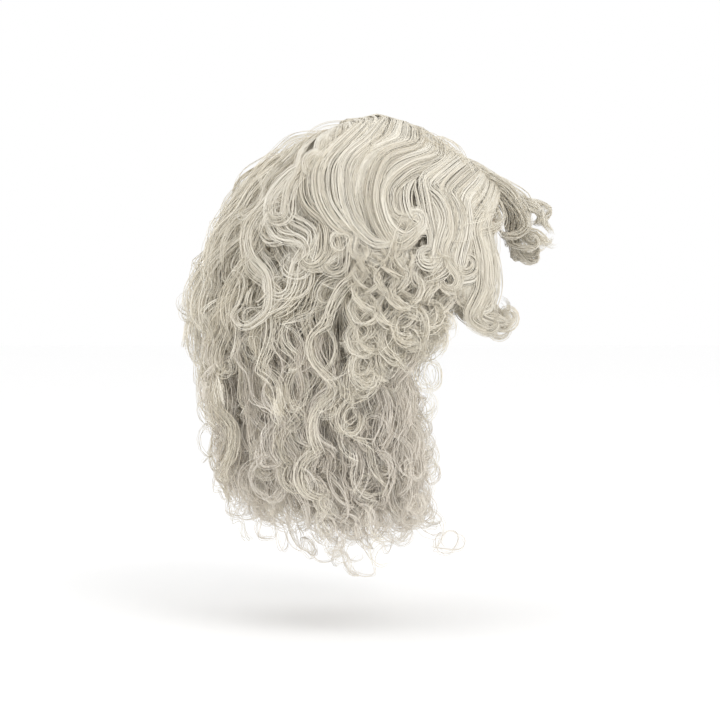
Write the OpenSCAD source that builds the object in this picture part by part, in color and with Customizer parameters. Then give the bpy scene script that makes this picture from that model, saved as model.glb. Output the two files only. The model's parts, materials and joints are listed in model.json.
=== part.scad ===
// Costume wig: a machine-made cap of net, tapes and weft rows, with full curly hair.
// +X is the way the face looks, +Y is the wearer's left and +Z is up.
// The origin is the centre of the head opening, level with the hatband line of the head.

/* [Head] */
// Radius of the rounded front and back ends of the head outline
head_r = 77; // [75:1:79]
// Distance between the centres of those two ends
head_mid = 40; // [38:1:42]
// Height of the widest level of the head above the origin
dome_z = 8; // [6:1:10]

/* [Cap] */
// Thickness of the cap's net, bands and tapes
cloth_t = 1; // [0.8:0.1:1]
// Thickness of the soft lining behind the forehead
lining_t = 0.8; // [0.6:0.1:0.8]
// Thickness of a machine-sewn weft row
weft_t = 1.6; // [1.2:0.1:1.6]
// Height of a weft row
weft_h = 5; // [4:0.5:6]
// Distance between weft rows
weft_pitch = 14.5; // [13:0.5:14.5]
// Clearance between one layer and the next
layer_gap = 0.4; // [0.3:0.1:0.4]
// Width of a vertical tape
ribbon_w = 14; // [10:1:16]
// Lowest level of the nape band
nape_z = -104; // [-106:1:-100]
// Height of the nape band
nape_h = 20; // [16:1:20]

/* [Adjusters] */
// Width of the elastic strap
strap_w = 8; // [7:0.5:8]
// Thickness of the elastic strap
strap_t = 1.2; // [1:0.1:1.4]
// Travel of the slider along the strap
slider_travel = 18; // [10:1:18]
// Radius of the hook's bar
bar_r = 1.05; // [0.9:0.05:1.05]

/* [Hair] */
// Height of the top of the hair
hair_top = 146; // [140:1:152]
// Reach of the hair behind the origin
hair_back = 222; // [212:1:228]
// Depth of the hair ends below the origin
hair_low = 296; // [280:1:304]
// Half of the hair's full width
hair_side = 165; // [158:1:172]
// Reach of the flipped forelock in front of the origin
forelock_reach = 141; // [136:1:146]
// Clearance between neighbouring hair sections
hair_gap = 0.8; // [0.6:0.1:1.2]

/* [Hidden] */

LEFT = 1;
RIGHT = -1;
BIG = 900;
end_x = head_mid / 2;
lining_r = head_r + 0.3;
net_r = lining_r + lining_t + layer_gap;
ribbon_r = net_r + cloth_t + layer_gap;
weft_r = ribbon_r + cloth_t + layer_gap;
hair_r = weft_r + weft_t + 0.6;

// Cap edges, seen from the side
net_edge_z = 10;
band_w = 20;
brow_x = 92;
brow_z = 66;
temple_x = 28;
// How far the cap's back wall draws in towards the nape, by height
wall_in = [[-110, -11], [-60, -3], [-30, 0], [dome_z, 0]];
wall_steps = [-60, -30];
function wall_r(z, r) = r + lookup(z, wall_in);

// Adjusters: the strap lies on a chord across the nape, at this angle from the back's centre
strap_az = 45;
strap_d = 58.5;
strap_z = nape_z + 10;
strap_start = -37;
strap_end = 12;
bar_v = strap_end + 2;
bar_clear = 0.1;
strap_loop_r = 2.2;
slider_w = 7;
slider_v = strap_end - 2.5 - slider_w / 2 - slider_travel;
slider_wall = 1.4;
slide_clear = 0.3;
hook_arm_w = 1.4;
hook_arm_gap = 0.4;
hook_t = 1.5;
hook_len = 13;
loop_az = [6, 11.5, 17];

// Hair levels and sectors
sector = 45;
low_el = 25;
high_el = 60;
fringe_z = -36;
upper_z = -30;
middle_z = -128;
cheek_x = 38;
shoulder_x = 48;
forelock_x = 104;
parting_az = 7;

ivory = [0.90, 0.88, 0.82];
ivory_warm = [0.88, 0.84, 0.76];
ivory_cool = [0.84, 0.83, 0.81];
cap_cloth = [0.86, 0.79, 0.70];
tape_white = [0.93, 0.92, 0.89];
clear_plastic = [0.92, 0.93, 0.93];

// ---- Cap ----

// Head form of radius r: two round ends joined by a straight middle
module head_form(r) {
    translate([0, 0, dome_z]) {
        rotate([0, 90, 0])
            cylinder(r = r, h = head_mid, center = true, $fn = 128);
        for (s = [-1, 1])
            translate([s * end_x, 0, 0])
                intersection() {
                    sphere(r = r, $fn = 128);
                    translate([s * BIG / 2, 0, 0])
                        cube(BIG, center = true);
                }
    }
}

// Thin layer on the head form, cut by an outline drawn in the side view
module dome_layer(r, t, outline) {
    intersection() {
        difference() {
            head_form(r + t);
            head_form(r);
        }
        rotate([90, 0, 0])
            linear_extrude(height = 4 * head_r, center = true)
                polygon(outline);
    }
}

// Thin layer on the back wall between two heights and two angles from the back's centre
module wall_layer(r, t, z_low, z_high, az_low, az_high) {
    inside = [for (z = wall_steps) if (z > z_low && z < z_high) z];
    levels = concat([z_low], inside, [z_high]);
    inner = [for (z = levels) [wall_r(z, r), z]];
    outer = [for (i = [len(levels) - 1 : -1 : 0]) [wall_r(levels[i], r) + t, levels[i]]];
    translate([-end_x, 0, 0])
        rotate([0, 0, 180 - az_high])
            rotate_extrude(angle = az_high - az_low, $fn = 128)
                polygon(concat(inner, outer));
}

module crown_net() {
    color(cap_cloth)
        dome_layer(net_r, cloth_t, [
            [-2 * head_r, net_edge_z],
            [temple_x, net_edge_z],
            [brow_x, brow_z],
            [brow_x, 2 * head_r],
            [-2 * head_r, 2 * head_r]
        ]);
}

// Outline of a strip along the cap's front edge, from ear to ear across the forehead
function front_strip(top, bottom) = [
    [-end_x, net_edge_z - top],
    [temple_x + top / 2, net_edge_z - top],
    [brow_x + top / 2, brow_z - top],
    [brow_x + 2 * bottom, brow_z - top],
    [brow_x + 2 * bottom, brow_z - bottom],
    [brow_x + bottom / 2, brow_z - bottom],
    [temple_x + bottom / 2, net_edge_z - bottom],
    [-end_x, net_edge_z - bottom]
];

module front_band() {
    color(cap_cloth)
        dome_layer(net_r, cloth_t, front_strip(layer_gap, band_w));
}

module front_lining() {
    color(tape_white)
        dome_layer(lining_r, lining_t, front_strip(-3, band_w - 2));
}

module ear_tab(side) {
    top_z = net_edge_z - band_w - 2 * layer_gap;
    tab_w = 26;
    tab_h = 42;
    toe_r = 9;
    toe = [for (a = [0 : -12 : -180]) [toe_r * cos(a), -tab_h + toe_r * sin(a)]];
    color(cap_cloth)
        mirror([0, side == LEFT ? 0 : 1, 0])
            translate([temple_x - 4, net_r - 5, top_z])
                rotate([3, 0, -10])
                    rotate([90, 0, 0])
                        linear_extrude(height = cloth_t)
                            polygon(concat([[-tab_w / 2, 0], [tab_w / 2, 0]], toe));
}

module nape_band() {
    color(cap_cloth)
        wall_layer(net_r, cloth_t, nape_z, nape_z + nape_h, -78, 78);
}

module ribbon(az, low) {
    half = ribbon_w / 2 / net_r * 180 / PI;
    color(tape_white)
        wall_layer(ribbon_r, cloth_t, low, net_edge_z - 2, az - half, az + half);
}

module weft_row(n) {
    z = net_edge_z - 6 - n * weft_pitch;
    color(ivory_warm)
        wall_layer(weft_r, weft_t, z, z + weft_h, -82, 82);
}

module size_label() {
    label_w = 24;
    label_h = 15;
    label_t = 0.5;
    z = nape_z + nape_h + 2;
    color(tape_white)
        translate([-end_x - wall_r(z, net_r) + 1.2, -label_w / 2, z])
            cube([label_t, label_w, label_h]);
}

// ---- Adjusters ----

// Places a piece drawn with X outwards and Y along the strap towards the back's centre
module at_strap(side) {
    mirror([0, side == LEFT ? 0 : 1, 0])
        translate([-end_x, 0, strap_z])
            rotate([0, 0, 180 - strap_az])
                translate([strap_d, 0, 0])
                    children();
}

module adjuster_strap(side) {
    color(tape_white)
        at_strap(side)
            difference() {
                union() {
                    translate([-strap_t / 2, strap_start, -strap_w / 2])
                        cube([strap_t, bar_v - strap_start - 1.6, strap_w]);
                    translate([0, bar_v, 0])
                        cylinder(r = strap_loop_r, h = strap_w, center = true, $fn = 48);
                }
                translate([0, bar_v, 0])
                    cylinder(r = bar_r + bar_clear, h = 2 * strap_w, center = true, $fn = 48);
            }
}

module strap_slider(side) {
    color(clear_plastic)
        at_strap(side)
            translate([0, slider_v, 0])
                difference() {
                    cube([
                        strap_t + 2 * (slide_clear + slider_wall),
                        slider_w,
                        strap_w + 2 * (slide_clear + slider_wall)
                    ], center = true);
                    cube([strap_t + 2 * slide_clear, 2 * slider_w, strap_w + 2 * slide_clear], center = true);
                }
}

module strap_hook(side) {
    half = strap_w / 2 + hook_arm_gap;
    color(clear_plastic)
        at_strap(side)
            translate([0, bar_v, 0])
                union() {
                    cylinder(r = bar_r, h = 2 * half + hook_arm_w, center = true, $fn = 48);
                    for (s = [-1, 1])
                        translate([-hook_t / 2, -bar_r, s * (half + hook_arm_w / 2) - hook_arm_w / 2])
                            cube([hook_t, bar_r + 4.4, hook_arm_w]);
                    translate([-hook_t / 2, 3, -half - hook_arm_w])
                        cube([hook_t, 2.2, 2 * (half + hook_arm_w)]);
                    linear_extrude(height = 5, center = true)
                        polygon([
                            [-hook_t / 2, 5],
                            [-hook_t / 2, hook_len],
                            [hook_t, hook_len + 1.2],
                            [hook_t + 1.2, hook_len],
                            [hook_t + 1.2, 7.6],
                            [hook_t + 0.2, 7.6],
                            [hook_t + 0.2, hook_len - 1.2],
                            [hook_t / 2, hook_len - 1.4],
                            [hook_t / 2, 5]
                        ]);
                }
}

// Thread loops on the inner face of the nape band, each a small bridge the hook goes under
module hook_loops(side) {
    loop_h = 9;
    loop_w = 3;
    stand = 2.6;
    color(tape_white)
        mirror([0, side == LEFT ? 0 : 1, 0])
            for (az = loop_az)
                translate([-end_x, 0, strap_z])
                    rotate([0, 0, 180 - az])
                        translate([wall_r(strap_z, net_r) - stand - 0.9, -loop_w / 2, -loop_h / 2])
                            difference() {
                                cube([stand, loop_w, loop_h]);
                                translate([0.9, -1, 1.4])
                                    cube([stand, loop_w + 2, loop_h - 2.8]);
                            }
}

// ---- Hair ----

module lobe(at, r, facets = 36) {
    translate(at)
        sphere(r = r, $fn = facets);
}

// Outer form of the whole head of hair, widest behind the ears and drawn in at the ends
module hair_form() {
    hull()
        for (s = [-1, 1]) {
            lobe([-27, s * 26, hair_top - 100], 100);
            lobe([-82, s * 45, 44], 85);
            lobe([100 - hair_back, s * 50, -52], 100);
            lobe([75 - hair_back, s * 62, 104 - hair_low], 45);
            lobe([-105, s * 70, 81 - hair_low], 60);
            lobe([-62, s * 76, 60 - hair_low], 60);
            lobe([0, s * 88, 61 - hair_low], 48);
            lobe([-38, s * (hair_side - 95), -48], 95);
            lobe([28, s * 34, 44], 78);
            lobe([30, s * 45, -10], 72);
        }
}

// Everything at least d beyond the head's centre, in the direction az, el
module beyond(az, el, d) {
    translate([0, 0, dome_z])
        rotate([0, -el, az])
            translate([d, -BIG, -BIG])
                cube(2 * BIG);
}

module above(z) {
    beyond(0, 90, z - dome_z);
}

module below(z) {
    beyond(0, -90, dome_z - z);
}

// Everything clear of the cap on the side that az, el points to
module off_cap(az, el) {
    beyond(az, el, hair_r + end_x * abs(cos(az) * cos(el)));
}

// Between the azimuths of one sector, clear of its neighbours
module in_sector(az_low, az_high) {
    intersection() {
        beyond(az_low + 90, 0, hair_gap / 2);
        beyond(az_high - 90, 0, hair_gap / 2);
    }
}

// One section of hair: the hair form inside every child, as one convex solid
module section(side, tone) {
    color(tone)
        mirror([0, side == LEFT ? 0 : 1, 0])
            hull()
                intersection() {
                    hair_form();
                    intersection_for (i = [0 : $children - 1])
                        children(i);
                }
}

// Sections around the dome: n counts the sectors from the face to the back
function az_mid(n) = (n + 0.5) * sector;

module shoulder_section(side, n, tone) {
    section(side, tone) {
        in_sector(n * sector, (n + 1) * sector);
        off_cap(az_mid(n), (low_el + high_el) / 2);
        beyond(az_mid(n) + 180, 90 - low_el, hair_gap / 2);
        beyond(az_mid(n), high_el - 90, hair_gap / 2);
        beyond(180, 0, -forelock_x);
    }
}

module upper_section(side, n, tone) {
    section(side, tone) {
        in_sector(max(n * sector, parting_az), (n + 1) * sector);
        off_cap(az_mid(n), 0);
        above(n == 0 ? fringe_z : upper_z);
        beyond(az_mid(n), low_el - 90, hair_gap / 2);
        beyond(180, 0, -forelock_x);
    }
}

module hanging_section(side, n, z_low, z_high, x_high, tone) {
    section(side, tone) {
        in_sector(n * sector, (n + 1) * sector);
        off_cap(az_mid(n), 0);
        above(z_low);
        below(z_high - hair_gap);
        beyond(180, 0, -x_high);
    }
}

module crown_curls(side) {
    section(side, ivory) {
        beyond(90, 0, hair_gap / 2);
        off_cap(0, 90);
        intersection_for (n = [0 : 3])
            beyond(az_mid(n) + 180, 90 - high_el, hair_gap / 2);
    }
}

module front_wave(side) shoulder_section(side, 0, ivory);
module temple_wave(side) shoulder_section(side, 1, ivory);
module upper_side_curls(side) shoulder_section(side, 2, ivory_warm);
module upper_back_curls(side) shoulder_section(side, 3, ivory);
module fringe(side) upper_section(side, 0, ivory);
module ear_curls(side) upper_section(side, 1, ivory_warm);
module side_curls(side) upper_section(side, 2, ivory);
module back_curls(side) upper_section(side, 3, ivory_warm);
module cheek_ringlets(side) hanging_section(side, 1, middle_z, upper_z, cheek_x, ivory);
module middle_side(side) hanging_section(side, 2, middle_z, upper_z, BIG, ivory_cool);
module middle_back(side) hanging_section(side, 3, middle_z, upper_z, BIG, ivory);
module shoulder_front(side) hanging_section(side, 1, -BIG, middle_z, shoulder_x, ivory_cool);
module lower_side(side) hanging_section(side, 2, -BIG, middle_z, BIG, ivory_cool);
module lower_back(side) hanging_section(side, 3, -BIG, middle_z, BIG, ivory_cool);

// The forelock springs from the hairline and flips forwards and up
module forelock() {
    color(ivory)
        hull()
            intersection() {
                beyond(0, 0, forelock_x + hair_gap);
                union()
                    for (s = [-1, 1]) {
                        lobe([forelock_x, s * 14, 52], 20, 20);
                        lobe([forelock_reach - 18, s * 12, 42], 18, 20);
                        lobe([forelock_x + 6, s * 12, 30], 14, 20);
                    }
            }
}

crown_net();
front_band();
front_lining();
ear_tab(LEFT);  // ear_tab_left
ear_tab(RIGHT);  // ear_tab_right
nape_band();
ribbon(0, nape_z);  // ribbon_centre
ribbon(30, nape_z);  // ribbon_left
ribbon(-30, nape_z);  // ribbon_right
ribbon(68, nape_z);  // ribbon_ear_left
ribbon(-68, nape_z);  // ribbon_ear_right
weft_row(1);  // weft_row_1
weft_row(2);  // weft_row_2
weft_row(3);  // weft_row_3
weft_row(4);  // weft_row_4
weft_row(5);  // weft_row_5
weft_row(6);  // weft_row_6
size_label();
adjuster_strap(LEFT);  // adjuster_strap_left
adjuster_strap(RIGHT);  // adjuster_strap_right
strap_slider(LEFT);  // strap_slider_left
strap_slider(RIGHT);  // strap_slider_right
strap_hook(LEFT);  // strap_hook_left
strap_hook(RIGHT);  // strap_hook_right
hook_loops(LEFT);  // hook_loops_left
hook_loops(RIGHT);  // hook_loops_right
crown_curls(LEFT);  // crown_curls_left
crown_curls(RIGHT);  // crown_curls_right
front_wave(LEFT);  // front_wave_left
front_wave(RIGHT);  // front_wave_right
temple_wave(LEFT);  // temple_wave_left
temple_wave(RIGHT);  // temple_wave_right
upper_side_curls(LEFT);  // upper_side_curls_left
upper_side_curls(RIGHT);  // upper_side_curls_right
upper_back_curls(LEFT);  // upper_back_curls_left
upper_back_curls(RIGHT);  // upper_back_curls_right
fringe(LEFT);  // fringe_left
fringe(RIGHT);  // fringe_right
ear_curls(LEFT);  // ear_curls_left
ear_curls(RIGHT);  // ear_curls_right
side_curls(LEFT);  // side_curls_left
side_curls(RIGHT);  // side_curls_right
back_curls(LEFT);  // back_curls_left
back_curls(RIGHT);  // back_curls_right
cheek_ringlets(LEFT);  // cheek_ringlets_left
cheek_ringlets(RIGHT);  // cheek_ringlets_right
middle_side(LEFT);  // middle_side_left
middle_side(RIGHT);  // middle_side_right
middle_back(LEFT);  // middle_back_left
middle_back(RIGHT);  // middle_back_right
shoulder_front(LEFT);  // shoulder_front_left
shoulder_front(RIGHT);  // shoulder_front_right
lower_side(LEFT);  // lower_side_left
lower_side(RIGHT);  // lower_side_right
lower_back(LEFT);  // lower_back_left
lower_back(RIGHT);  // lower_back_right
forelock();
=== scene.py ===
import json
import math

import bpy
import numpy as np
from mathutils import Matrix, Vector


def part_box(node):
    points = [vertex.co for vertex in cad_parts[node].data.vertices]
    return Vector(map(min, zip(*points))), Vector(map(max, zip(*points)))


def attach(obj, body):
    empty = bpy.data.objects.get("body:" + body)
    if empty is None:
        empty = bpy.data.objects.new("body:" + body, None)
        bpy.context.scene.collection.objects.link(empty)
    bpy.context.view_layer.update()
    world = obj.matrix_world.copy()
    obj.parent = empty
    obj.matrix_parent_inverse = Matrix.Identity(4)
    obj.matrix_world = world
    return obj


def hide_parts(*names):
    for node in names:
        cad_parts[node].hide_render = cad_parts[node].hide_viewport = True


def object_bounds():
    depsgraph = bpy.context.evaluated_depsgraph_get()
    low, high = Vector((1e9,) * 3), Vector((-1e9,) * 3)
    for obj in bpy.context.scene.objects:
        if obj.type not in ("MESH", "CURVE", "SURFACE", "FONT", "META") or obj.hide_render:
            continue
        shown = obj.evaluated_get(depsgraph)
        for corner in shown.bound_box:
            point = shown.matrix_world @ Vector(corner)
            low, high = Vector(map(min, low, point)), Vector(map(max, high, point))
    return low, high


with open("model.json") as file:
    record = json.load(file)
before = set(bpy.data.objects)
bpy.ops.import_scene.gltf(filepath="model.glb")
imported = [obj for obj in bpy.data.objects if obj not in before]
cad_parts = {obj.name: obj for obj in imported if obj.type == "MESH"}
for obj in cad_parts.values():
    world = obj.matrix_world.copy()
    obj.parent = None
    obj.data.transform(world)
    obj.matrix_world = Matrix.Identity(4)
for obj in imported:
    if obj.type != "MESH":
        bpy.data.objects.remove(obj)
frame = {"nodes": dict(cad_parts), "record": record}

CAD_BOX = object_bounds()
MM = 0.001
LEFT, RIGHT = 1, -1
SIDES = {"left": LEFT, "right": RIGHT}
TUBE_SIDES = 3
rng = np.random.default_rng(739)

# ---- The head and the outline of the hair, in millimetres in the CAD frame ----

dome_low, dome_high = (np.array(v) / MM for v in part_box("crown_net"))
CAP_R = dome_high[1] + 3.5
# The dome's rounded ends stand this far before and behind its middle; the net is cut away in front
CAP_END = -dome_low[0] - dome_high[1]
DOME_Z = dome_high[2] - dome_high[1]
HAIR_LOW, HAIR_HIGH = (np.array(v) / MM for v in CAD_BOX)
PLAN_X = -30.0
# Below this height nothing of the cap is in the hair's way
CAP_LOW = -112

# Levels of the hair's outline, from the top down, and at each its reach back, forwards and sideways
LEVELS = np.array([150, 140, 125, 100, 75, 50, 0, -45, -100, -165, -215, -245, -275, -296.0])
BACK = np.array([-30, -66, -104, -144, -168, -184, -208, -220, -212, -202, -198, -190, -150, -60.0])
FRONT = np.array([-30, 4, 30, 66, 90, 104, 106, 98, 92, 92, 92, 88, 68, 30.0])
WIDTH = np.array([0, 48, 72, 100, 118, 130, 148, 157, 158, 152, 146, 138, 118, 90.0])
# The azimuth in degrees where hair starts beside the face
EDGE = np.array([0, 0, 0, 0, 8, 18, 38, 58, 68, 72, 68, 62, 54, 54.0])
# How low the ends reach, by azimuth from the face to the back
ENDS_AZ = np.array([52, 70, 88, 110, 132, 155, 180.0])
ENDS_Z = np.array([-246, -276, -294, -296, -288, -274, -264.0])


def level(z, values):
    return np.interp(-np.asarray(z, float), -LEVELS, values)


def inner_reach(z):
    """The half-length behind, in front, and half-width of the hollow that the head and neck take."""
    z = np.asarray(z, float)
    shrink = np.interp(z, [-300, -150, -90, -40, 0], [8, 14, 10, 0, 0])
    up = np.clip((z - DOME_Z) / CAP_R, 0, 0.999)
    ring = CAP_R * np.sqrt(1 - up**2)
    return ring + CAP_END + PLAN_X - shrink, ring + CAP_END - PLAN_X - shrink, ring - shrink


def hair_point(s, z, depth):
    """A point in the hair: s runs from the edge beside the face (0) to the back (1).

    depth runs from the head (0) to the outline (1).
    """
    edge = np.radians(level(z, EDGE))
    az = edge + s * (math.pi - edge)
    back, front, side = inner_reach(z)
    back = back + (PLAN_X - level(z, BACK) - back) * depth
    front = front + (level(z, FRONT) - PLAN_X - front) * depth
    side = side + (level(z, WIDTH) - side) * depth
    reach = np.where(np.cos(az) < 0, back, front)
    across = np.sign(np.sin(az)) * np.abs(np.sin(az)) ** 0.9
    return np.stack([PLAN_X + reach * np.cos(az), side * across, z + 0 * az], -1)


def from_heart(p):
    """The nearest points of the head's middle line or plane, and the way and distance out from them."""
    x = np.clip(p[..., 0], -CAP_END, CAP_END)
    heart = np.stack([x, 0 * x, np.minimum(p[..., 2], DOME_Z)], -1)
    far = np.linalg.norm(p - heart, axis=-1, keepdims=True)
    return heart, (p - heart) / np.maximum(far, 1e-6), far


def cap_radius(z):
    """The cap's radius from the head's middle at a height, with the hollow above the nape."""
    return CAP_R - np.interp(z, [-110, -60, -30], [11, 3, 0])


def dome_point(n, radius):
    """The points of the dome at directions n, and the outward directions there."""
    p = radius * n + (0, 0, DOME_Z)
    p[..., 0] += CAP_END * np.clip(2 * n[..., 0], -1, 1)
    heart, way, _ = from_heart(p)
    return heart + radius * way, way


def cap_point(az, el):
    """A point on the cap and its outward direction, for an azimuth and an elevation in degrees."""
    az, el = math.radians(az), math.radians(el)
    n = np.array([math.cos(az) * math.cos(el), math.sin(az) * math.cos(el), math.sin(el)])
    return dome_point(n, CAP_R)


def wall_point(az, z):
    """The same on the cap's upright wall, at a height."""
    az = math.radians(az)
    p, way = dome_point(np.array([math.cos(az), math.sin(az), 0]), cap_radius(z))
    return p * (1, 1, 0) + (0, 0, z), way


def off_the_cap(p):
    """The points, with those inside the cap moved straight out to its surface."""
    heart, way, far = from_heart(p)
    wall = np.where(p[..., 2] > CAP_LOW, cap_radius(p[..., 2]), 0)
    return heart + way * np.maximum(far, wall[..., None])


# ---- Curves ----

def smooth(points, step=3.0):
    """A Catmull-Rom curve through the points, at even steps of about step."""
    p = np.asarray(points, float)
    p = np.vstack([2 * p[0] - p[1], p, 2 * p[-1] - p[-2]])
    t = np.linspace(0, 1, 12, endpoint=False)[:, None]
    out = []
    for a, b, c, d in zip(p[:-3], p[1:-2], p[2:-1], p[3:]):
        bend = (2 * a - 5 * b + 4 * c - d) * t**2
        out.append(0.5 * (2 * b + (c - a) * t + bend + (3 * b - a - 3 * c + d) * t**3))
    p = np.vstack(out + [p[-2][None]])
    return even(p, max(6, int(path_length(p) / step)))


def path_length(p):
    return float(np.linalg.norm(np.diff(p, axis=0), axis=1).sum())


def points_at(p, u):
    """Points of a curve at the shares u of its length."""
    d = np.concatenate([[0], np.cumsum(np.linalg.norm(np.diff(p, axis=0), axis=1))])
    return np.stack([np.interp(u * d[-1], d, p[:, i]) for i in range(3)], -1)


def even(p, n):
    return points_at(p, np.linspace(0, 1, n))


def unit(v):
    return v / np.maximum(np.linalg.norm(v, axis=-1, keepdims=True), 1e-9)


def carried_frames(p):
    """Tangents and two cross directions along curves of shape (..., K, 3), carried without twist."""
    t = unit(np.gradient(p, axis=-2))
    e = np.zeros_like(t)
    first = t[..., 0, :]
    helper = np.where(np.abs(first[..., 2:3]) < 0.8, np.array([0, 0, 1.0]), np.array([0, 1.0, 0]))
    now = unit(np.cross(first, helper))
    e[..., 0, :] = now
    for k in range(1, p.shape[-2]):
        tk = t[..., k, :]
        now = unit(now - tk * (now * tk).sum(-1, keepdims=True))
        e[..., k, :] = now
    return t, e, np.cross(t, e)


# ---- Locks of hair ----

def ring_end(guide, radius, turns, tilt):
    """The guide goes on into a closing ring that faces outwards, leaning by tilt."""
    step = 4.0
    ahead = unit(guide[-1] - guide[-3])
    out = outward(guide[-1])
    across = unit(np.cross(out, ahead)) * rng.choice([-1, 1])
    across = unit(across * math.cos(tilt) + unit(np.cross(ahead, across)) * math.sin(tilt))
    p = [guide[-1]]
    angle = 0.0
    count = int(2 * math.pi * radius * turns / step)
    for i in range(count):
        angle += step / (radius * (1.15 - 0.5 * i / count))
        p.append(p[-1] + step * (math.cos(angle) * ahead + math.sin(angle) * across))
    return np.concatenate([guide[:-1], p])


def wavy_lock(guide, n, spread, amp, wave, tip_amp, tip_wave, frizz=1.0, facing=None, turn=1.5, calm=0.2,
              ring=None):
    """n strands waving together along a guide: amp and wave are the wave's size and pitch near the root."""
    before = path_length(guide)
    if ring:
        guide = ring_end(guide, *ring)
    length = path_length(guide)
    k = int(np.clip(length / 4.8, 18, 96))
    # The points stand closer towards the tip, where the curls are tighter
    u = np.linspace(0, 1, k)
    u = u + 0.12 * np.sin(math.pi * u)
    g = points_at(guide, u)
    t = unit(np.gradient(g, axis=0))
    normal = outward(g)
    side = unit(np.cross(normal, t))
    normal = unit(np.cross(t, side))
    late = np.clip((u - 0.3) / 0.7, 0, 1) ** 1.3
    pitch = wave + (tip_wave - wave) * late
    size = (amp + (tip_amp - amp) * late) * np.clip(u / calm, 0, 1) ** 1.5
    size = size * np.clip((1.12 * before / length - u) / 0.15, 0, 1)
    phase = rng.uniform(0, 6.3)
    phase = phase + rng.choice([-1, 1]) * np.cumsum(2 * math.pi / pitch * np.gradient(u)) * length
    own = rng.normal(0, 1, (n, 12))
    angle = phase + frizz * (0.2 * own[:, 0:1] + 0.5 * own[:, 1:2] * u**1.5)
    size = size * (1 + 0.16 * frizz * own[:, 2:3])
    # Near the root the wave lies flat to the head, and towards the tip it turns over into open loops
    roll = rng.uniform(0.1, 0.7) + (rng.uniform(0.5, 1.3) if facing is None else facing) * late
    turned = rng.uniform(-turn, turn) * late
    across = np.cos(turned)[:, None] * side + np.sin(turned)[:, None] * normal
    out_of = np.cos(turned)[:, None] * normal - np.sin(turned)[:, None] * side
    flat = 0.5 + 0.4 * late
    curl = (size * np.cos(angle))[..., None] * across
    curl = curl + (size * np.sin(angle) * flat * np.cos(roll))[..., None] * out_of
    curl = curl + (size * np.sin(angle) * np.sin(roll))[..., None] * t
    around = rng.uniform(0, 2 * math.pi, n)
    out = spread * np.sqrt(rng.uniform(0, 1, n))
    fan = (0.4 + 0.6 * np.clip(u / 0.2, 0, 1)) * (1 - 0.3 * u**2)
    drift = frizz * (0.9 + 1.5 * u)
    loose = [drift * np.sin(u * (6 + 2.5 * own[:, i:i + 1]) + 3 * own[:, i + 1:i + 2]) for i in (3, 5)]
    p = g + curl
    p = p + ((out * np.cos(around))[:, None] * fan + loose[0])[..., None] * side
    p = p + ((out * np.sin(around))[:, None] * fan * 0.8 + loose[1] * 0.7)[..., None] * normal
    return shortened(p, 1 - np.abs(own[:, 7]) * 0.07)


def shortened(p, share):
    """Each strand ends at its own share of its length."""
    n, k, _ = p.shape
    at = np.linspace(0, 1, k)[None] * share[:, None] * (k - 1)
    i = np.clip(at.astype(int), 0, k - 2)
    f = (at - i)[..., None]
    rows = np.arange(n)[:, None]
    return p[rows, i] * (1 - f) + p[rows, i + 1] * f


def outline_point(x, z, depth):
    """A point on the hair's outline at one side, seen square from the side at x and z."""
    x, z = np.asarray(x, float), np.asarray(z, float)
    reach = np.where(x > PLAN_X, level(z, FRONT) - PLAN_X, PLAN_X - level(z, BACK))
    across = np.sqrt(np.clip(1 - ((x - PLAN_X) / np.maximum(reach, 1)) ** 2, 0, 1))
    y = level(z, WIDTH) * across * depth
    return np.stack([PLAN_X + (x - PLAN_X) * (0.5 + 0.5 * depth), y, z], -1)


def crest(x):
    """The height of the hair's outline over the middle of the head."""
    i = np.arange(6)
    reach = np.concatenate([BACK[i[::-1]], FRONT[i[1:]]])
    return np.interp(x, reach, np.concatenate([LEVELS[i[::-1]], LEVELS[i[1:]]]))


def over_the_top(first, count=9):
    """The start of each strand: along the crest from the crown, then out and down to its drawn path."""
    n = len(first)
    w = np.linspace(0, 1, count + 1)[:-1][None]
    x0 = first[:, None, 0]
    back = np.clip(x0 + 68, 6, 62) * rng.uniform(0.7, 1.0)
    whorl = -60 + rng.normal(0, 4, (n, 1))
    x = x0 + (np.where(x0 < whorl, whorl, x0 - back) - x0) * (1 - w) ** 1.3
    start = rng.normal(0, 5, (n, 1))
    y1 = first[:, None, 1]
    y = start + (y1 - start) * w ** rng.uniform(1.1, 1.6)
    high = np.maximum(crest(x), first[:, None, 2])
    fall = np.clip(np.abs(y) / np.maximum(y1, 1), 0, 1)
    z = first[:, None, 2] + (high - first[:, None, 2]) * np.sqrt(np.clip(1 - fall**2, 0, 1))
    z = z - rng.uniform(1, 5, (n, 1)) * (1 - w) ** 2
    return np.stack([x, y, z], -1)


def curl_on(path, radius, turns, way):
    """A flat path that goes on into a closing curl."""
    step = 4.2
    p = list(path)
    heading = math.atan2(*(path[-1] - path[-2])[::-1])
    count = int(2 * math.pi * radius * turns / step)
    for i in range(count):
        r = radius * (1 - 0.45 * i / max(count, 1))
        heading += way * step / r
        p.append(p[-1] + step * np.array([math.cos(heading), math.sin(heading)]))
    return np.array(p)


def flat_path(points, step=6.0):
    p = np.asarray(points, float)
    return smooth(np.insert(p, 1, 0, axis=1), step)[:, [0, 2]]


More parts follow.
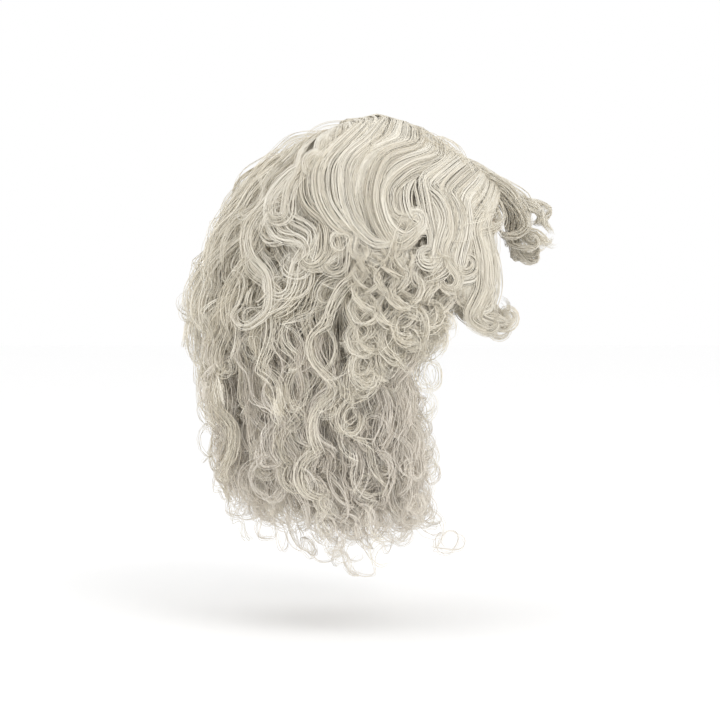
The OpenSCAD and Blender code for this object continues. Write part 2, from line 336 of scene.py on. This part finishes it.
def combed_lock(points, n, wide, side, depth, curl, way, lift=0.0, rough=1.0, root=None, least=0.0,
                dome=0.45):
    """n strands combed side by side along a path drawn in the side view, wide across, ending in a curl."""
    path = flat_path(points)
    if curl[1] > 0:
        path = curl_on(path, curl[0], curl[1], way)
    k = len(path)
    u = np.linspace(0, 1, k)
    t2 = unit(np.gradient(path, axis=0))
    cross = np.stack([-t2[:, 1], t2[:, 0]], -1)
    a = rng.uniform(-1, 1, n)
    b = rng.uniform(-1, 1, n)
    own = rng.normal(0, 1, (n, 6))
    fill = 0.75 + 0.25 * np.sin(math.pi * np.clip(u * 1.3, 0, 1))
    fill = fill * (1 - 0.8 * np.clip((u - 0.55) / 0.45, 0, 1) ** 1.3)
    ripple = rough * (0.4 + 1.4 * u) * np.sin(u * (7 + 2 * own[:, 0:1]) + 3 * own[:, 1:2])
    off = wide * a[:, None] * fill + ripple
    flat = path + off[..., None] * cross
    p = outline_point(flat[..., 0], flat[..., 1], depth)
    p[..., 1] = np.maximum(p[..., 1], least * np.clip((70 - p[..., 2]) / 40, 0, 1))
    for _ in range(4):
        p[:, 1:-1, 1] = (p[:, :-2, 1] + 2 * p[:, 1:-1, 1] + p[:, 2:, 1]) / 4
    # The lock is domed: its middle stands out and its edges tuck under
    dome = lift + dome * wide * (np.sqrt(np.clip(1 - a**2, 0, 1)) - 0.6) * (0.5 + 0.5 * np.abs(b))
    swell = np.sin(math.pi * np.clip(u, 0.03, 1)) * 3 * lift / (abs(lift) + 1)
    p = p + (dome[:, None] * fill + swell + 0.6 * ripple)[..., None] * outward(p)
    if root is not None:
        p = np.concatenate([over_the_top(p[:, 0]), p], axis=1)
        p = np.concatenate([rooted(root, p[:, 0], n), p], axis=1)
    p[..., 1] *= side
    return shortened(p, 1 - np.minimum(np.abs(own[:, 2]) * 0.09, 0.35))


def rooted(root, first, n):
    """The hidden rise of each strand from the cap to where its path starts."""
    start = np.asarray(root, float) + rng.normal(0, 1, (n, 3)) * (5, 3, 0.5)
    w = np.linspace(0, 1, 4)[:-1, None]
    lift = np.sin(w * math.pi / 2)
    mid = start[:, None] * (1 - w)[None] + first[:, None] * w[None]
    mid[..., 2] = start[:, None, 2] + (first[:, None, 2] - start[:, None, 2]) * lift[None, :, 0]
    return mid


def outward(p):
    """Directions away from the middle of the head, for points around it."""
    centre = np.stack([np.clip(p[..., 0], -45, 25), 0 * p[..., 1], np.clip(p[..., 2], -60, 30)], -1)
    return unit(p - centre)


# ---- Strands into closed meshes ----

class Strands:
    """Strands of one piece, gathered before they become one mesh."""

    def __init__(self):
        self.groups = []

    def add(self, p, radius, tone):
        """p is (N, K, 3) in millimetres, radius half a strand's thickness, tone 0 (shaded) to 1 (light)."""
        n = len(p)
        p = off_the_cap(p)
        tones = np.clip(tone + rng.normal(0, 0.16, n), 0, 1)
        radii = radius * np.clip(rng.normal(1, 0.14, n), 0.7, 1.4)
        self.groups.append((p, radii, tones))

    def triangles(self):
        ends = 2 * (TUBE_SIDES - 2)
        return sum(len(p) * ((p.shape[1] - 1) * TUBE_SIDES * 2 + ends) for p, _, _ in self.groups)

    def mesh(self, name):
        verts, quads, caps, tone, along = [], [], [], [], []
        base = 0
        for p, radii, tones in self.groups:
            n, k, _ = p.shape
            _, e1, e2 = carried_frames(p)
            u = np.linspace(0, 1, k)
            taper = np.minimum(np.clip(u / 0.03, 0.3, 1), np.clip((1 - u) / 0.12, 0.12, 1))
            r = radii[:, None] * taper
            ang = np.arange(TUBE_SIDES) * 2 * math.pi / TUBE_SIDES
            ring = (np.cos(ang)[:, None] * e1[..., None, :] + np.sin(ang)[:, None] * e2[..., None, :])
            v = p[..., None, :] + r[..., None, None] * ring
            verts.append(v.reshape(-1, 3))
            i = base + np.arange(n)[:, None, None] * k * TUBE_SIDES
            j = np.arange(k - 1)[None, :, None] * TUBE_SIDES
            s = np.arange(TUBE_SIDES)[None, None]
            s2 = (s + 1) % TUBE_SIDES
            low, high = i + j, i + j + TUBE_SIDES
            quads.append(np.stack([low + s, low + s2, high + s2, high + s], -1).reshape(-1, 4))
            first = base + np.arange(n)[:, None] * k * TUBE_SIDES
            caps.append(first + np.arange(TUBE_SIDES)[::-1][None])
            caps.append(first + (k - 1) * TUBE_SIDES + np.arange(TUBE_SIDES)[None])
            tone.append(np.repeat(tones, k * TUBE_SIDES))
            along.append(np.tile(np.repeat(u, TUBE_SIDES), n))
            base += n * k * TUBE_SIDES
        v, q, c = np.concatenate(verts) * MM, np.concatenate(quads), np.concatenate(caps)
        mesh = bpy.data.meshes.new(name)
        mesh.vertices.add(len(v))
        mesh.vertices.foreach_set("co", v.ravel().astype(np.float32))
        corners = np.concatenate([q.ravel(), c.ravel()])
        starts = np.concatenate([np.arange(len(q)) * 4, q.size + np.arange(len(c)) * TUBE_SIDES])
        mesh.loops.add(len(corners))
        mesh.loops.foreach_set("vertex_index", corners.astype(np.int32))
        mesh.polygons.add(len(starts))
        mesh.polygons.foreach_set("loop_start", starts.astype(np.int32))
        mesh.polygons.foreach_set("use_smooth", np.ones(len(starts), bool))
        for label, values in (("tone", tone), ("along", along)):
            layer = mesh.attributes.new(label, "FLOAT", "POINT")
            layer.data.foreach_set("value", np.concatenate(values).astype(np.float32))
        mesh.update(calc_edges=True)
        return mesh


def hair_piece(name, strands, material, slot, *nodes):
    piece = bpy.data.objects.new(name, strands.mesh(name))
    bpy.context.scene.collection.objects.link(piece)
    piece.data.materials.append(material)
    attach(piece, "wig")
    if nodes:
        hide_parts(*nodes)


# ---- Materials ----

def new_material(name, colour, roughness):
    m = bpy.data.materials.new(name)
    m.use_nodes = True
    p = m.node_tree.nodes["Principled BSDF"]
    p.inputs["Base Color"].default_value = (*colour, 1)
    p.inputs["Roughness"].default_value = roughness
    return m, m.node_tree, p


def hair_material(name, dark, light, roughness):
    m, nt, p = new_material(name, light, roughness)
    tone = nt.nodes.new("ShaderNodeAttribute")
    tone.attribute_name = "tone"
    along = nt.nodes.new("ShaderNodeAttribute")
    along.attribute_name = "along"
    # Painted shade: each strand's colour darkens over the first quarter of its length towards its root, where
    # the hair over it would shade it
    roots = nt.nodes.new("ShaderNodeMapRange")
    roots.inputs["From Min"].default_value = 0.0
    roots.inputs["From Max"].default_value = 0.25
    roots.inputs["To Min"].default_value = 0.55
    roots.inputs["To Max"].default_value = 1.0
    nt.links.new(along.outputs["Fac"], roots.inputs["Value"])
    times = nt.nodes.new("ShaderNodeMath")
    times.operation = "MULTIPLY"
    nt.links.new(tone.outputs["Fac"], times.inputs[0])
    nt.links.new(roots.outputs["Result"], times.inputs[1])
    mix = nt.nodes.new("ShaderNodeMix")
    mix.data_type = "RGBA"
    mix.inputs[6].default_value = (*dark, 1)
    mix.inputs[7].default_value = (*light, 1)
    nt.links.new(times.outputs[0], mix.inputs["Factor"])
    nt.links.new(mix.outputs[2], p.inputs["Base Color"])
    p.inputs["Specular IOR Level"].default_value = 0.4
    return m


HAIR = {
    "hair_cream": hair_material("hair_cream", (0.68, 0.615, 0.49), (0.93, 0.885, 0.78), 0.3),
    "hair_ivory": hair_material("hair_ivory", (0.735, 0.67, 0.54), (0.955, 0.905, 0.79), 0.38),
    # A darker, slightly greyer copy of the ivory for the lower hair: painted shade low on the wig
    "hair_ash": hair_material("hair_ash", (0.68, 0.615, 0.52), (0.925, 0.87, 0.78), 0.4),
}

# ---- Waves drawn in the side view, from the middle of the back to the forehead ----

FLOW = np.array([
    [(-140, 100), (-164, 76), (-178, 44), (-192, 10), (-196, -16), (-199, -38), (-200, -60)],
    [(-112, 88), (-134, 66), (-152, 38), (-148, 6), (-134, -16), (-130, -38), (-146, -58)],
    [(-86, 108), (-106, 92), (-124, 66), (-120, 38), (-104, 18), (-98, -4), (-112, -22)],
    [(-60, 128), (-75, 112), (-92, 88), (-88, 60), (-72, 42), (-66, 22), (-80, 4)],
    [(-35, 141), (-52, 122), (-72, 96), (-74, 66), (-58, 42), (-42, 28), (-28, 36)],
    [(-8, 140), (-14, 122), (-42, 104), (-54, 78), (-50, 48), (-38, 12), (-14, 0)],
    [(15, 131), (14, 112), (-20, 96), (-34, 66), (-26, 34), (-8, 21), (8, 32)],
    [(34, 119), (30, 102), (2, 90), (-18, 70), (-14, 50), (-2, 42), (8, 48)],
    [(52, 105), (34, 92), (18, 76), (32, 62), (39, 46), (34, 24), (30, 2)],
    [(70, 90), (60, 80), (48, 66), (50, 44), (42, 20), (36, 0), (52, -6)],
    [(84, 79), (76, 62), (62, 38), (66, 8), (64, -22), (58, -48), (72, -62)],
    [(92, 73), (82, 58), (73, 36), (80, 8), (84, -18), (82, -42), (98, -54)],
], float)
# Which way each path's last bend turns
TURNS = [-1, -1, -1, -1, 1, 1, 1, 1, -1, 1, 1, 1]


def between(v):
    """A path between two neighbouring drawn paths."""
    i = int(np.clip(v, 0, len(FLOW) - 2))
    return FLOW[i] * (1 - v + i) + FLOW[i + 1] * (v - i), TURNS[i if v - i < 0.5 else i + 1]


def loose_combed(strands, side, first, last, limit):
    """Loose wavy locks at random over a run of the drawn paths, until the piece has limit triangles."""
    while strands.triangles() < limit:
        v = first + (last - first) * rng.uniform() ** 1.3
        path, way = between(v)
        path = path + rng.normal(0, 5, path.shape) * np.linspace(0.5, 1.5, len(path))[:, None]
        path = path[:rng.integers(4, len(path) + 1)]
        root = cap_point(100 - path[0, 0] * 0.5, 70)[0]
        p = combed_lock(path, 14, rng.uniform(4, 9), side, rng.uniform(0.92, 1.04),
                        (rng.uniform(8, 14), rng.uniform(0.3, 0.9)), way, lift=1.0, rough=1.8, root=root)
        # Locks down the middle of the back lie on both sides of it
        p[..., 1] *= rng.uniform(-0.3, 1.0) if v < 1 else 1
        strands.add(p, 0.31, rng.uniform(0.4, 1.0))


# ---- The curly mass ----

# For each section: the roots' azimuths, their elevations or heights, where the hair hangs between the
# face (0) and the back (1), its depth between the head (0) and the outline (1), and its end heights
SECTIONS = {
    "crown_curls": dict(az=(75, 180), el=(50, 88), s=(0.4, 1.06), depth=(0.6, 1.0), end=(-140, 20),
                        crown=True),
    "upper_side_curls": dict(az=(80, 135), el=(22, 58), s=(0.06, 0.55), depth=(0.15, 1.0), end=(-215, -60)),
    "upper_back_curls": dict(az=(130, 180), el=(22, 58), s=(0.5, 1.06), depth=(0.15, 1.0), end=(-215, -60)),
    "ear_curls": dict(az=(50, 98), el=(6, 42), s=(0.0, 0.3), depth=(0.12, 0.82), end=(-200, -90)),
    "side_curls": dict(az=(92, 136), z=(-25, 30), s=(0.14, 0.55), depth=(0.2, 1.0), end=(-280, -130)),
    "back_curls": dict(az=(132, 180), z=(-25, 30), s=(0.5, 1.04), depth=(0.15, 1.0), end=(-272, -130)),
    "middle_side": dict(az=(98, 136), z=(-66, -25), s=(0.08, 0.55), depth=(0.3, 0.9), end=(-290, -190)),
    "middle_back": dict(az=(132, 180), z=(-66, -25), s=(0.5, 1.03), depth=(0.3, 0.95), end=(-276, -190)),
    "lower_side": dict(az=(98, 136), z=(-100, -60), s=(0.05, 0.5), depth=(0.05, 0.75), end=(-292, -225)),
    "lower_back": dict(az=(132, 180), z=(-100, -60), s=(0.5, 1.03), depth=(0.05, 0.85), end=(-276, -222)),
    "shoulder_front": dict(az=(80, 104), z=(-20, 15), s=(0.0, 0.24), depth=(0.2, 0.9), end=(-290, -170)),
}
CURLY_TRIANGLES = 170_000


def slot_of(section):
    if section.startswith(("crown", "front_wave", "temple", "fringe", "forelock")):
        return "hair_cream"
    # The middle, lower and shoulder hair takes the darker copy of the ivory, painted shade
    return "hair_ash" if section.startswith(("lower", "middle", "shoulder")) else "hair_ivory"


def mixed(bounds, f):
    return bounds[0] + (bounds[1] - bounds[0]) * f


def hanging_guide(spec):
    """A lock's path: out of the cap, over the hair below it, and down to its end."""
    f = rng.uniform()
    az = mixed(spec["az"], f)
    if "el" in spec:
        root, n = cap_point(az, rng.uniform(*spec["el"]))
    else:
        root, n = wall_point(az, rng.uniform(*spec["z"]))
    s = np.clip(mixed(spec["s"], f) + rng.normal(0, 0.03), 0, 1.07)
    depth = rng.uniform(*spec["depth"])
    low = max(rng.uniform(*spec["end"]), np.interp(64 + s * 116, ENDS_AZ, ENDS_Z) + rng.uniform(4, 20))
    path = [root, root + n * rng.uniform(18, 34)]
    if spec.get("crown"):
        top = DOME_Z + CAP_R + (HAIR_HIGH[2] - DOME_Z - CAP_R) * depth - rng.uniform(2, 26)
        path = [root, root * (0.8, 0.4, 1) + (0, 0, top - root[2] - 8)]
    else:
        top = min(86 + 50 * depth, root[2] + 15 + 45 * depth if root[2] > DOME_Z else root[2] - 4)
    count = max(2, int((top - low) / 38))
    sway = rng.normal(0, 0.02, count + 1).cumsum()
    swing = rng.normal(0, 0.7)
    heights = top + (low - top) * np.linspace(0, 1, count + 1) ** 1.25
    for i, z in enumerate(heights[0 if root[2] > 40 else 1:]):
        # The hair sweeps backwards as it falls past the ear, and neighbours waver together
        sweep = 0.06 * (1 - s) * math.sin(math.pi * np.clip((70 - z) / 240, 0, 1))
        waver = 0.032 * math.sin(z / 21 + 9 * s + swing)
        here = np.clip(s + sweep + waver + sway[i], 0, 1.08)
        path.append(hair_point(here, z, depth * rng.uniform(0.95, 1.02)))
    return smooth(path, 5.0)


def curly_section(spec, side):
    strands = Strands()
    if spec.get("crown"):
        loose_combed(strands, side, 0, 3.6, CURLY_TRIANGLES * 0.5)
    i = 0
    while strands.triangles() < CURLY_TRIANGLES:
        guide = hanging_guide(spec) * (1, side, 1)
        kind = ("soft", "accent", "ring", "soft", "ring", "stray")[i % 6]
        calm = 0.5 if spec.get("crown") else 0.2
        # Painted light: the soft locks of the crown, at the top of the wig, get lighter tones
        crown_painted_light = 0.2 if spec.get("crown") else 0.0
        closing = (rng.uniform(7, 14), rng.uniform(0.45, 1.2), rng.uniform(-1.1, 1.1))
        wave = rng.uniform(56, 86)
        # Tones by kind: the soft mass underneath is darker and the accent, ring and stray locks are lighter,
        # painted shade and painted light over each lock's random tone
        if kind == "soft":
            p = wavy_lock(guide[:-8], 16, rng.uniform(6, 12), rng.uniform(3.5, 7), wave, rng.uniform(6, 11),
                          rng.uniform(32, 48), frizz=1.2, calm=calm, ring=closing)
            strands.add(p, 0.31, rng.uniform(0.3, 0.75) + crown_painted_light)
        elif kind == "accent":
            p = wavy_lock(guide[:-8], 8, rng.uniform(2.0, 4.5), rng.uniform(5, 9), wave, rng.uniform(7, 11),
                          rng.uniform(32, 46), frizz=0.8, turn=0.5, calm=calm, ring=closing)
            strands.add(p, 0.29, rng.uniform(0.8, 1.0))
        elif kind == "ring":
            keep = rng.integers(len(guide) // 2, len(guide) + 1)
            guide = guide[len(guide) // 4:keep]
            guide = guide + outward(guide) * np.linspace(0, rng.uniform(2, 10), len(guide))[:, None]
            p = wavy_lock(guide, 9, rng.uniform(3, 8), rng.uniform(4, 8), rng.uniform(44, 70), 9, 36, 0.8,
                          turn=0.6, ring=closing)
            strands.add(p, 0.28, rng.uniform(0.6, 1.0))
        else:
            guide = guide[len(guide) // 3:]
            guide = guide + outward(guide) * np.linspace(0, rng.uniform(1, 10), len(guide))[:, None]
            p = wavy_lock(guide, 4, rng.uniform(1, 5), rng.uniform(5, 10), rng.uniform(36, 60),
                          rng.uniform(9, 13), rng.uniform(24, 36), 0.9, ring=closing)
            strands.add(p, 0.25, rng.uniform(0.75, 1.0))
        i += 1
    return strands


# ---- The combed waves round the face, on the drawn paths ----

def combed_section(side, first, last, wide, gap, least=0.0):
    """Domed ribbons of combed hair, a gap apart over a run of the drawn paths, above thicker filling hair."""
    strands = Strands()
    fill = np.linspace(first, last, 13)
    ribbons = np.arange(first + gap / 2, last, gap)
    for v, top in [(v, False) for v in fill] + [(v, True) for v in ribbons]:
        path, way = between(np.clip(v + rng.normal(0, 0.05), first, last))
        path = path + rng.normal(0, 2.0, path.shape) * np.linspace(0.3, 1.5, len(path))[:, None]
        x0 = np.clip(path[0, 0] * 0.8, -60, 60)
        root = cap_point(90 - x0 * 0.9, 72 if x0 > -20 else 66)[0]
        end = (rng.uniform(7, 12), rng.uniform(0.3, 1.0))
        low = least * rng.uniform(0.9, 1.15)
        # The ribbons on top get lighter tones and the filling hair under them darker ones, painted light and
        # painted shade over each lock's random tone
        if top:
            p = combed_lock(path, 34, wide * rng.uniform(0.7, 1.15), side, rng.uniform(0.95, 1.03), end, way,
                            lift=2.5, rough=rng.uniform(0.5, 1.1), root=root, least=low, dome=0.55)
            strands.add(p, 0.33, rng.uniform(0.45, 1.0))
        else:
            p = combed_lock(path, 16, wide, side, rng.uniform(0.88, 0.95), end, way, root=root, least=low,
                            dome=0.3)
            strands.add(p, 0.5, rng.uniform(0.3, 0.8))
    return strands


def ringlets(side, count, n):
    """Small hanging curls from under the waves, over the cheek."""
    strands = Strands()
    for _ in range(count):
        x = rng.uniform(-52, 26)
        low = -58 - 60 * np.clip((28 - x) / 80, 0, 1) * rng.uniform(0.5, 1.0) - rng.uniform(0, 16)
        z = np.linspace(rng.uniform(8, 30), low, 6)
        path = np.stack([x + 10 * np.linspace(0, 1, 6) + rng.normal(0, 3, 6), z], -1)
        guide = smooth(outline_point(path[:, 0], path[:, 1], rng.uniform(0.82, 1.04)) * (1, side, 1), 4.0)
        p = wavy_lock(guide, n, rng.uniform(2.5, 5.0), rng.uniform(6, 9), rng.uniform(30, 40),
                      rng.uniform(8, 11), rng.uniform(21, 29), frizz=1.0, facing=1.1)
        strands.add(p, 0.29, rng.uniform(0.5, 0.95))
    return strands


FORELOCK = [
    ([(40, 104), (66, 92), (98, 74), (112, 52), (110, 32), (99, 22)], 10, (8, 0.3), -1),
    ([(46, 104), (72, 88), (102, 68), (114, 42), (124, 27), (137, 20)], 7, (7, 0.25), 1),
    ([(70, 84), (96, 70), (114, 61), (130, 57), (138, 50), (134, 42)], 4, (6, 0.2), -1),
    ([(72, 82), (92, 66), (106, 48), (104, 26), (112, 10), (124, 8)], 5, (7, 0.5), 1),
]


def forelock():
    """The lock that flips forwards and up from the middle of the hairline."""
    strands = Strands()
    for path, wide, curl, way in FORELOCK:
        for _ in range(6):
            y, drift = rng.uniform(-26, 26), rng.normal(0, 20)
            growing = np.linspace(0.3, 1.3, len(path))[:, None]
            drawn = np.array(path) + rng.normal(0, 4, (len(path), 2)) * growing
            p = combed_lock(drawn, 30, wide * 0.7, 1, 1.0, curl, way)
            along = np.linspace(0, 1, p.shape[1])[None]
            across = np.clip(rng.normal(0, 8, (30, 1)), -16, 16)
            p[..., 1] = y + drift * along**1.7 + across * (1 - 0.7 * along)
            p[..., 1] += rng.normal(0, 2, (30, 1)) * along
            strands.add(p, 0.32, rng.uniform(0.6, 0.95))
    return strands


for side_name, side in SIDES.items():
    for section, spec in SECTIONS.items():
        node = f"{section}_{side_name}"
        slot = slot_of(section)
        hair_piece(node + "_hair", curly_section(spec, side), HAIR[slot], slot, node)
    waves = {
        "temple_wave": combed_section(side, 2.7, 6.2, 8.5, 0.3),
        "front_wave": combed_section(side, 5.9, 9.4, 7.5, 0.3),
        "fringe": combed_section(side, 9.0, 11.0, 6.5, 0.22, least=60),
        "cheek_ringlets": ringlets(side, 72, 14),
    }
    for section, strands in waves.items():
        node = f"{section}_{side_name}"
        slot = slot_of(section)
        hair_piece(node + "_hair", strands, HAIR[slot], slot, node)
hair_piece("forelock_hair", forelock(), HAIR["hair_cream"], "hair_cream", "forelock")

# ---- The cap ----

NET_R = dome_high[1] - 0.5
NET_LOW = dome_low[2]
WEFT_THICKNESS = 1.6
# Half thicknesses of the net's and the stitching's threads
NET_THREAD = 0.28
SEWING_THREAD = 0.3
# Where the net ends above the forehead: a line in the side view from the temple to the brow
BROW = np.array([(28, NET_LOW), (92, NET_LOW + 56)], float)


def on_net(p):
    """Whether points lie in the part of the dome that the net covers."""
    x, z = p[..., 0], p[..., 2]
    rise = (BROW[1, 1] - BROW[0, 1]) / (BROW[1, 0] - BROW[0, 0])
    return (z > NET_LOW + 0.5) & (z > BROW[0, 1] + (x - BROW[0, 0]) * rise + 1)


def net():
    """An open stretch net: two crossing families of threads over the dome."""
    strands = Strands()
    for lean in (LEFT, RIGHT):
        for start in np.arange(0, 360, 3.2):
            t = np.linspace(0, 1, 60)
            el = np.radians(2 + 84 * t)
            az = np.radians(start + lean * 62 * t)
            n = np.stack([np.cos(az) * np.cos(el), np.sin(az) * np.cos(el), np.sin(el)], -1)
            p, _ = dome_point(n, NET_R)
            inside = np.flatnonzero(on_net(p))
            if len(inside) > 4:
                thread = p[None, inside[0]:inside[-1] + 1]
                strands.groups.append((thread, np.array([NET_THREAD]), np.array([0.6])))
    return strands


def zigzag(z, radius, half_span, height=1.6, pitch=3.0):
    """Stitching along the inner face of a weft row."""
    count = int(2 * math.radians(half_span) * radius / pitch)
    az = math.pi + np.radians(np.linspace(-half_span, half_span, count))
    p, _ = dome_point(np.stack([np.cos(az), np.sin(az), 0 * az], -1), radius)
    p[:, 2] = z + height * (np.arange(count) % 2 * 2 - 1) / 2
    return p[None]


def stitching():
    strands = Strands()
    for row in range(1, 7):
        low, high = (np.array(v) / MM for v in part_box(f"weft_row_{row}"))
        half_width = (high[1] - low[1]) / 2
        p = zigzag((low[2] + high[2]) / 2, half_width - WEFT_THICKNESS - 0.15, 78)
        strands.groups.append((p, np.array([SEWING_THREAD]), np.array([0.9])))
    return strands


def textured(name, colour, roughness, scale, depth, shade=0.82, sheen=0.0, pattern="noise"):
    """Cloth or plastic with a fine relief and a slight change of colour."""
    m, nt, p = new_material(name, colour, roughness)
    p.inputs["Sheen Weight"].default_value = sheen
    where = nt.nodes.new("ShaderNodeTexCoord")
    if pattern == "noise":
        tex = nt.nodes.new("ShaderNodeTexNoise")
        tex.inputs["Detail"].default_value = 3
    else:
        tex = nt.nodes.new("ShaderNodeTexWave")
        tex.bands_direction = pattern
    tex.inputs["Scale"].default_value = scale
    nt.links.new(where.outputs["Object"], tex.inputs["Vector"])
    mix = nt.nodes.new("ShaderNodeMix")
    mix.data_type = "RGBA"
    mix.inputs[6].default_value = (*(c * shade for c in colour), 1)
    mix.inputs[7].default_value = (*colour, 1)
    nt.links.new(tex.outputs["Fac"], mix.inputs["Factor"])
    nt.links.new(mix.outputs[2], p.inputs["Base Color"])
    bump = nt.nodes.new("ShaderNodeBump")
    bump.inputs["Distance"].default_value = depth
    nt.links.new(tex.outputs["Fac"], bump.inputs["Height"])
    nt.links.new(bump.outputs["Normal"], p.inputs["Normal"])
    return m


def plastic():
    m, _, p = new_material("clear_plastic", (0.88, 0.89, 0.89), 0.22)
    p.inputs["Transmission Weight"].default_value = 0.45
    p.inputs["IOR"].default_value = 1.47
    return m


CAP = {
    "cap_net": new_material("cap_net", (0.76, 0.68, 0.58), 0.7)[0],
    "cap_cloth": textured("cap_cloth", (0.74, 0.65, 0.54), 0.85, 900, 0.0002, sheen=0.2),
    "lining": textured("lining", (0.82, 0.76, 0.67), 0.95, 1500, 0.0003, shade=0.88, sheen=0.6),
    "tape": textured("tape", (0.83, 0.81, 0.76), 0.85, 420, 0.00025, pattern="Z"),
    "weft": textured("weft", (0.80, 0.75, 0.66), 0.7, 500, 0.0003, shade=0.75, pattern="Y"),
    "label": textured("label", (0.90, 0.90, 0.88), 0.5, 700, 0.0001, shade=0.94, pattern="Y"),
    "elastic": textured("elastic", (0.86, 0.85, 0.82), 0.8, 420, 0.0003, shade=0.8, pattern="Z"),
    "clear_plastic": plastic(),
}
for part in frame["record"]["subparts"]:
    if part["material_slot"] in CAP:
        for slot in frame["nodes"][part["node"]].material_slots:
            slot.material = CAP[part["material_slot"]]
hair_piece("crown_net_mesh", net(), CAP["cap_net"], "cap_net", "crown_net")
hair_piece("weft_stitching", stitching(), CAP["weft"], "weft")

# ---- Studio ----

scene = bpy.context.scene
scene.view_settings.view_transform = "Standard"
world = bpy.data.worlds.new("studio")
scene.world = world
world.use_nodes = True
world.node_tree.nodes["Background"].inputs["Color"].default_value = (1, 1, 1, 1)
world.node_tree.nodes["Background"].inputs["Strength"].default_value = 1.0


def area_light(name, at, target, size, power):
    data = bpy.data.lights.new(name, "AREA")
    data.size = size
    data.energy = power
    lamp = bpy.data.objects.new(name, data)
    lamp.location = at
    lamp.rotation_euler = (Vector(target) - Vector(at)).to_track_quat("-Z", "Y").to_euler()
    scene.collection.objects.link(lamp)


area_light("key", (0.9, -1.3, 1.5), (0, 0, 0), 1.2, 14)
area_light("fill", (-1.6, -1.2, 0.4), (0, 0, -0.05), 1.6, 5)

FLOOR_Z = HAIR_LOW[2] * MM - 0.06
floor_mesh = bpy.data.meshes.new("floor")
FLOOR_CORNERS = [(-6, -6, FLOOR_Z), (6, -6, FLOOR_Z), (6, 6, FLOOR_Z), (-6, 6, FLOOR_Z)]
floor_mesh.from_pydata(FLOOR_CORNERS, [], [(0, 1, 2, 3)])
floor = bpy.data.objects.new("floor", floor_mesh)
scene.collection.objects.link(floor)
floor_mesh.materials.append(new_material("floor_paper", (0.985, 0.985, 0.985), 0.9)[0])

camera_data = bpy.data.cameras.new("camera")
camera = bpy.data.objects.new("camera", camera_data)
scene.collection.objects.link(camera)
DISTANCE = 2.2
SENSOR = 36.0
FRAME_WIDTH = 0.72
AIM = (-0.047, 0, -0.095)
ELEVATION = math.radians(3)
camera.location = (AIM[0], -DISTANCE * math.cos(ELEVATION), AIM[2] + DISTANCE * math.sin(ELEVATION))
camera.rotation_euler = (math.pi / 2 - ELEVATION, 0, 0)
camera_data.sensor_width = SENSOR
camera_data.lens = SENSOR * DISTANCE / FRAME_WIDTH
scene.camera = camera
